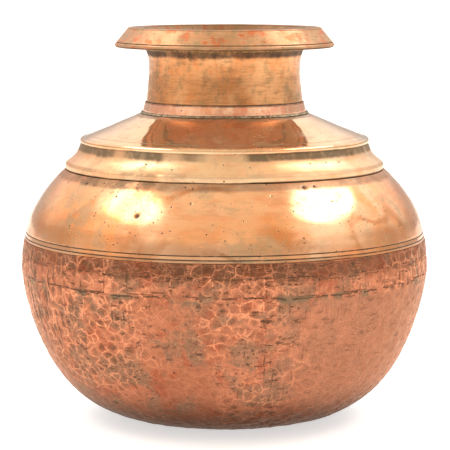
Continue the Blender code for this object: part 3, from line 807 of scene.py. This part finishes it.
def pressDents(made, marks):
    mesh = made.data
    count = len(mesh.vertices)
    points, outward = np.zeros(count * 3), np.zeros(count * 3)
    mesh.vertices.foreach_get("co", points)
    mesh.attributes["outward"].data.foreach_get("vector", outward)
    points, outward = points.reshape(-1, 3), outward.reshape(-1, 3)
    knocks = np.zeros(count)
    for angle, height, reach, depth in marks:
        turn = math.radians(angle)
        radius = domeRadius(height * mm)
        spot = np.array([radius * math.cos(turn), radius * math.sin(turn), height * mm])
        away = np.linalg.norm(points - spot, axis=1) / (reach * mm)
        share = np.clip(away, 0.0, 1.0)
        sunk = (1.0 - share ** 2) ** 1.5
        knocks = np.maximum(knocks, sunk)
        raised = np.exp(-((away - 1.15) / 0.22) ** 2) * 0.06
        points += outward * ((raised - sunk) * depth * mm)[:, None]
    mesh.vertices.foreach_set("co", points.ravel())
    mesh.attributes.new("knock", "FLOAT", "POINT").data.foreach_set("value", knocks)
    mesh.update()


def domeRadius(height):  # the dome swells a little past the body's curve
    rise = min(max((height - belly["swellFrom"]) / belly["swellRun"], 0.0), 1.0)
    fall = min(max((height - belly["sinkFrom"]) / belly["sinkRun"], 0.0), 1.0)
    eased = rise * rise * (3.0 - 2.0 * rise)
    return bodyRadius(height) + belly["swell"] * eased * (1.0 - belly["sink"] * fall)


def makeUpperBelly():
    half, depth = belly["lineHalf"], belly["lineDepth"]
    outline = line([inside(belly["skirtFoot"], belly["wall"])], 0.0)
    outline += line([inside(belly["skirtFoot"] + 0.1 * mm, belly["skirtStand"])], 0.0)
    outline += line([inside(belly["skirtTop"], belly["skirtStand"])], 0.0)
    outline += line([inside(belly["lip"], 0.15 * mm)])
    for middle in (belly["lowerLine"], belly["upperLine"]):
        outline += line([inside(middle - half, 0.0), inside(middle, depth), inside(middle + half, 0.0)])
    first = belly["upperLine"] + half
    for k in range(1, belly["rows"] + 1):
        height = first + (belly["ledge"] - first) * k / belly["rows"]
        outline.append((domeRadius(height), height, 1.0))
    outline += line([(belly["spigot"], belly["ledge"]), (belly["spigot"], bellyHigh.z)], 0.0)
    outline += line([(belly["bore"], bellyHigh.z), (belly["bore"], belly["ledge"] - belly["ledgeDrop"])], 0.0)
    for k in range(8, -1, -1):
        height = belly["insideFrom"] + (belly["insideTo"] - belly["insideFrom"]) * k / 8
        outline.append((*inside(height, belly["wall"]), 0.0))
    look = bronzeLook | {
        "grimeAndShadeColour": (66, 50, 32), "swirlReflection": 0.75, "knocked": True, "specks": 1.0,
        "tarnishPlace": (-0.096, -0.062, 0.128), "tarnish": 0.07, "patinaColour": (156, 140, 108),
        "toneShare": 1.0, "deep": (240, 158, 100), "rough": 0.17, "roughCloud": 0.3, "patina": 0.6,
        "patinaSpan": (0.53, 0.62), "pitColour": (48, 34, 22),
        # the band under the ledge is painted shade with grime under the shoulder cap; the others follow the lines
        # and the lip
        "grimeAndShade": [(belly["ledge"], 5.0, 0.9, 0.6),
                 (belly["upperLine"] + 1.0 * mm, 1.0, 4.4, 0.15),
                 (belly["lip"] + 0.2 * mm, 0.9, 1.2, 0.45)],
        "darkLines": [(belly["lowerLine"], 0.6, 0.95), (belly["upperLine"], 0.55, 0.95)]}
    castPiece(
        ("upperBelly", "turned_bronze", "upper_belly"), outline, belly, turnedFinish("domeBronze", look),
        25, 2200.0, (1.3, 0.3, 34.0, 0.3, 12.0, 0.04), dents)


seam = inMetres({  # after the sizes, counts and degrees
    "root": 92.3, "tip": 102.0, "gap": 0.4, "closedGap": 0.09, "sideGap": 0.05, "jitterHeight": 0.9,
    "wander": 0.6, "fillSpread": 0.35, "fillSink": 0.32, "wall": 1.5}) | {
    "teeth": 24, "toothHalf": 3.75, "jitterAngle": 1.1, "pair": 0.03, "clear": 0.24, "columns": 900,
    "seed": 7}
copper = inMetres({
    "markSize": 5.8, "markDepth": 0.42, "wornSize": 60.0, "swellSize": 45.0, "swellDepth": 0.25,
    "rowStep": 0.95, "firstRow": 0.35, "lastRow": 90.0, "bandRow": 103.6, "edgeRow": 0.15, "edgeSink": 0.12,
    "lipReach": 6.0, "floorRadius": 30.0}) | {
    "bowlColumns": 530, "bandColumns": 900, "footRadii": [12.0, 24.0, 32.0, 35.5, 36.6]}  # the radii in mm

pitch = 360.0 / seam["teeth"]
seamDice = random.Random(seam["seed"])
toothEdges = []  # (angle of the start, angle of the end, tip height, height of the root after it)
for tooth in range(seam["teeth"]):
    middle = pitch * tooth
    start = middle - seam["toothHalf"] + seamDice.uniform(-1, 1) * seam["jitterAngle"]
    end = middle + seam["toothHalf"] + seamDice.uniform(-1, 1) * seam["jitterAngle"]
    tip = seam["tip"] + seamDice.uniform(-1, 1) * seam["jitterHeight"]
    root = seam["root"] + seamDice.uniform(-1, 1) * seam["jitterHeight"]
    toothEdges.append((start, end, tip, root))
seamWaves = [(k, seamDice.uniform(0, math.tau), seamDice.uniform(0.4, 1.0)) for k in (5, 13, 29, 47, 83, 131)]


def seamWander(angle):  # a slow wobble along the seam, -1 to 1
    return sum(math.sin(k * math.radians(angle) + p) * a / (k ** 0.35) for k, p, a in seamWaves) * 0.55


def seamGap(angle):  # mostly closed, open in runs
    opening = max(0.0, math.sin(math.radians(angle * 11.0) + 2.4 * seamWander(angle * 2.0 + 40.0)) - 0.1)
    return seam["closedGap"] + seam["gap"] * 1.6 * opening


def seamHeight(angle, shrink):  # shrink narrows the teeth, in degrees
    turn = (angle + pitch / 2.0) % 360.0 - pitch / 2.0
    tooth = int(round(turn / pitch)) % seam["teeth"]
    start, end, tip, root = toothEdges[tooth]
    centre = pitch * tooth
    local = (angle - centre + 180.0) % 360.0 - 180.0
    if start - centre + shrink <= local <= end - centre - shrink:
        return tip + seamWander(angle) * seam["wander"]
    before = toothEdges[tooth - 1][3]
    return (root if local > 0 else before) + seamWander(angle + 3.0) * seam["wander"]


def seamColumns(count, shrink):  # angles with a close pair at each tooth edge
    edges = []
    for start, end, tip, root in toothEdges:
        edges += [(start + shrink) % 360.0, (end - shrink) % 360.0]
    angles = []
    for k in range(count):
        angle = 360.0 * k / count
        near = min(abs((angle - e + 180.0) % 360.0 - 180.0) for e in edges)
        if near > seam["clear"]:
            angles.append(angle)
    for e in edges:
        angles += [(e - seam["pair"]) % 360.0, (e + seam["pair"]) % 360.0]
    return sorted(angles)


def curvedShell(name, angles, sectionAt, closedRows):  # open rows get a flat face at each end
    points, outward = [], []
    for angle in angles:
        section = sectionAt(angle)
        cosine, sine = math.cos(math.radians(angle)), math.sin(math.radians(angle))
        for r, z, outR, outZ in section:
            points.append((r * cosine, r * sine, z))
            outward.append((outR * cosine, outR * sine, outZ))
    rows = len(section)
    faces = gridFaces(len(angles), rows, closedRows)
    if not closedRows:
        starts = [i * rows for i in range(len(angles))]
        faces += [starts[::-1], [k + rows - 1 for k in starts]]
    return meshObject(name, points, faces, outward)


def skinPoint(height, depth, show):
    r, z = inside(height, depth)
    out, up = bodyNormal(height)
    return r, z, out * show, up * show


def rowsBetween(low, high, count):
    return [low + (high - low) * k / count for k in range(count)]


def bowlSection(angle):
    gapHalf = seamGap(angle) / 2.0
    top = seamHeight(angle, bowlShrink) - gapHalf
    last = top - copper["edgeRow"]
    levels = outerLevels[:-1] + rowsBetween(outerLevels[-1], last, 9) + [last]
    section = [(r * mm, 0.0, 0.0, -0.5) for r in copper["footRadii"]]
    section += [skinPoint(h, 0.0, 1.0) for h in levels]
    section += [skinPoint(top, copper["edgeSink"], 0.6), skinPoint(top, seam["wall"], 0.0)]
    for k in range(1, 9):
        height = top - (top - copper["lipReach"]) * (k / 8) ** 1.4
        section.append(skinPoint(height, seam["wall"], 0.0))
    section.append((copper["floorRadius"], seam["wall"], 0.0, 0.0))
    return section


def bandSection(angle):
    gapHalf = seamGap(angle) / 2.0
    low = seamHeight(angle, bandShrink) + gapHalf
    top, fixed = bandHigh.z, copper["bandRow"]
    section = [skinPoint(low, seam["wall"], 0.0), skinPoint(low, copper["edgeSink"], 0.6)]
    levels = rowsBetween(low + copper["edgeRow"], fixed, 10) + rowsBetween(fixed, top - 0.2 * mm, 9)
    section += [skinPoint(h, 0.0, 1.0) for h in levels]
    section += [skinPoint(top - 0.2 * mm, 0.0, 0.8), skinPoint(top, 0.15 * mm, 0.3)]
    section += [skinPoint(top, seam["wall"], 0.0), skinPoint(fixed, seam["wall"], 0.0)]
    return section


gapAngle = math.degrees(seam["sideGap"] / 2.0 / body["radius"])
bowlShrink, bandShrink = gapAngle, -gapAngle
outerLevels = []
height = copper["firstRow"]
while height < copper["lastRow"]:
    outerLevels.append(height)
    out, up = bodyNormal(height)
    height += copper["rowStep"] * out
outerLevels.append(copper["lastRow"])

copperLook = {
    "base": (174, 110, 82), "warm": (190, 122, 92), "hollow": (118, 80, 60),
    "bright": (212, 138, 104), "ridge": (236, 154, 114), "patinaColour": (116, 102, 80),
    "dark": (96, 56, 38), "grey": (134, 106, 86), "red": (158, 80, 58),
    "chip": (60, 46, 30), "foot": (62, 26, 10), "smooth": (164, 115, 90),
    "splitPlace": (-0.104, -0.056, 0.084), "splitReach": (42.0 * mm, 20.0 * mm),
    "smoothPlace": (0.086, -0.084, 0.06), "smoothReach": (34.0 * mm, 76.0 * mm),
    "smoothTop": (86.0 * mm, 93.0 * mm), "lipShade": (99.0 * mm, 104.5 * mm),
    "footShade": (34.0 * mm, 6.0 * mm),
    "seamHeight": 97.5 * mm, "lowCrack": 91.6 * mm, "highCrack": 103.2 * mm, "crust": 91.0 * mm,
    "markSize": copper["markSize"], "wornSize": copper["wornSize"], "rough": 0.4,
    "edgeTint": (1.0, 0.88, 0.77, 1.0)}


def makeHammered():
    finish = hammeredFinish("hammeredCopper", copperLook)
    values = {
        "Material": finish, "Mark Size": copper["markSize"], "Mark Depth": copper["markDepth"],
        "Worn Size": copper["wornSize"], "Swell Size": copper["swellSize"],
        "Swell Depth": copper["swellDepth"]}
    bowl = curvedShell("hammeredBowl", seamColumns(copper["bowlColumns"], bowlShrink), bowlSection, False)
    applyTree(bowl, hammeredSkin, values)
    finishPiece(bowl, "lower_bowl")
    band = curvedShell("hammeredBand", seamColumns(copper["bandColumns"], bandShrink), bandSection, True)
    applyTree(band, hammeredSkin, values)
    finishPiece(band, "belly_band")


def seamFillSection(angle):
    here = [seamHeight(a, 0.0) for a in (angle, angle - gapAngle, angle + gapAngle)]
    low, high = min(here) - seam["fillSpread"], max(here) + seam["fillSpread"]
    deep, shallow = seam["wall"] * 0.8, seam["fillSink"]
    section = [skinPoint(low, deep, 0.0)]
    section += [skinPoint(low + (high - low) * k / 6, shallow, 0.35) for k in range(7)]
    section += [skinPoint(high, deep, 0.0)]
    return section


def makeSeamSolder():
    look = {
        "base": (150, 110, 82), "dark": (86, 60, 42), "bright": (186, 138, 102),
        "speckle": 0.3, "rough": 0.5}
    made = curvedShell("seamSolder", seamColumns(seam["columns"], gapAngle), seamFillSection, True)
    applyTree(made, hammeredSkin, {
        "Material": fillerFinish("seamGrey", look), "Mark Size": 2.0 * mm, "Mark Depth": 0.2 * mm,
        "Swell Size": 5 * mm, "Swell Depth": 0.2 * mm})
    finishPiece(made, "seam_braze")


makeRimLip()
makeNeck()
makeNeckCollar()
makeCollarSolder()
makeShoulderCap()
makeUpperBelly()
makeHammered()
makeSeamSolder()

hiddenFiller = fillerFinish("fillerBrass", {
    "base": (168, 132, 84), "dark": (96, 72, 44), "bright": (210, 176, 120),
    "speckle": 0.3, "rough": 0.5})
for name in ("rim_braze", "cap_braze", "band_braze"):
    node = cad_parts[name]
    node.data.materials.clear()
    node.data.materials.append(hiddenFiller)
print("pieces done")


studio = {  # each softbox is its name, place and width
    "floorSize": 30.0, "floorColour": (0.8, 0.8, 0.8, 1.0), "floorGlow": 0.6, "boxPower": 2.9,
    "boxLength": 1.02, "boxAim": (0.0, 0.0, 0.14), "softboxes": [
        ("leftSoftbox", (-0.76, -0.04, 1.10), 0.5), ("rightSoftbox", (0.78, 0.06, 1.08), 0.56)],
    "cameraPlace": (0.0003, -1.3, 0.2822), "cameraTilt": 82.8, "lens": 169.4}


def makeFloor():
    mesh = bpy.data.meshes.new("floor")
    h = studio["floorSize"] / 2
    mesh.from_pydata([(-h, -h, 0), (h, -h, 0), (h, h, 0), (-h, h, 0)], [], [(0, 1, 2, 3)])
    made = linked("floor", mesh)
    material, board = newFinish("paleFloor")
    shader = board.add("ShaderNodeBsdfPrincipled", {}, {
        "Base Color": studio["floorColour"], "Roughness": 0.9, "Specular IOR Level": 0.1,
        "Emission Color": (1.0, 1.0, 1.0, 1.0), "Emission Strength": studio["floorGlow"]})
    board.add("ShaderNodeOutputMaterial", {}, {"Surface": shader})
    mesh.materials.append(material)


def makeSoftbox(name, place, width):
    length = studio["boxLength"]
    data = bpy.data.lights.new(name, "AREA")
    data.shape = "ELLIPSE"
    data.size = width
    data.size_y = length
    data.energy = studio["boxPower"] * width * length * math.pi
    made = linked(name, data)
    made.location = place
    direction = [a - p for a, p in zip(studio["boxAim"], place)]
    made.rotation_euler = (0.0, math.atan2(-direction[0], -direction[2]), 0.0)
    made.visible_camera = False


def makeWorld():
    world = bpy.data.worlds.new("paleStudio")
    bpy.context.scene.world = world
    board = emptied(world)
    way = board.add("ShaderNodeTexCoord", out="Generated")
    x, y, z = board.split(way)
    high = z.ramp(0.22, 0.5)
    sideways = (x.size() * 0.9 - y * 0.4).ramp(0.75, 0.97) * (z.ramp(-0.3, 0.0) * 0.7 + 0.3)
    behind = y.ramp(0.35, 0.65) * z.ramp(0.12, 0.32)
    front = (y - x * 0.15).ramp(-0.84, -0.96) * z.ramp(0.2, 0.05) * z.ramp(-0.4, -0.25)
    glow = x.size().ramp(0.42, 0.72) * z.ramp(0.3, 0.55) * (1.0 - behind)
    light = high * 0.42 + sideways * (1.0 - high) * 0.44 + behind * 0.52 - front * 0.42 + 0.58 + glow * 0.35
    cameraRay = board.add("ShaderNodeLightPath", out="Is Camera Ray")
    light = light * (1.0 - cameraRay) + cameraRay * 1.05
    warmth = (high * (1.0 - behind) * (1.0 - glow * 0.7)).most(z.ramp(-0.1, 0.1) * 0.22) * (1.0 - cameraRay)
    colour = board.tint(warmth, (1.0, 1.0, 1.0, 1.0), (1.0, 0.86, 0.66, 1.0))
    surface = board.add("ShaderNodeBackground", {}, {"Color": colour, "Strength": light})
    board.add("ShaderNodeOutputWorld", {}, {"Surface": surface})


def makeCamera():
    data = bpy.data.cameras.new("camera")
    data.lens = studio["lens"]
    data.sensor_width = 36.0
    made = linked("camera", data)
    made.location = studio["cameraPlace"]
    made.rotation_euler = (math.radians(studio["cameraTilt"]), 0.0, 0.0)
    bpy.context.scene.camera = made


makeFloor()
makeWorld()
for box in studio["softboxes"]:
    makeSoftbox(*box)
makeCamera()
bpy.context.scene.view_settings.view_transform = "Standard"
print("studio ready")
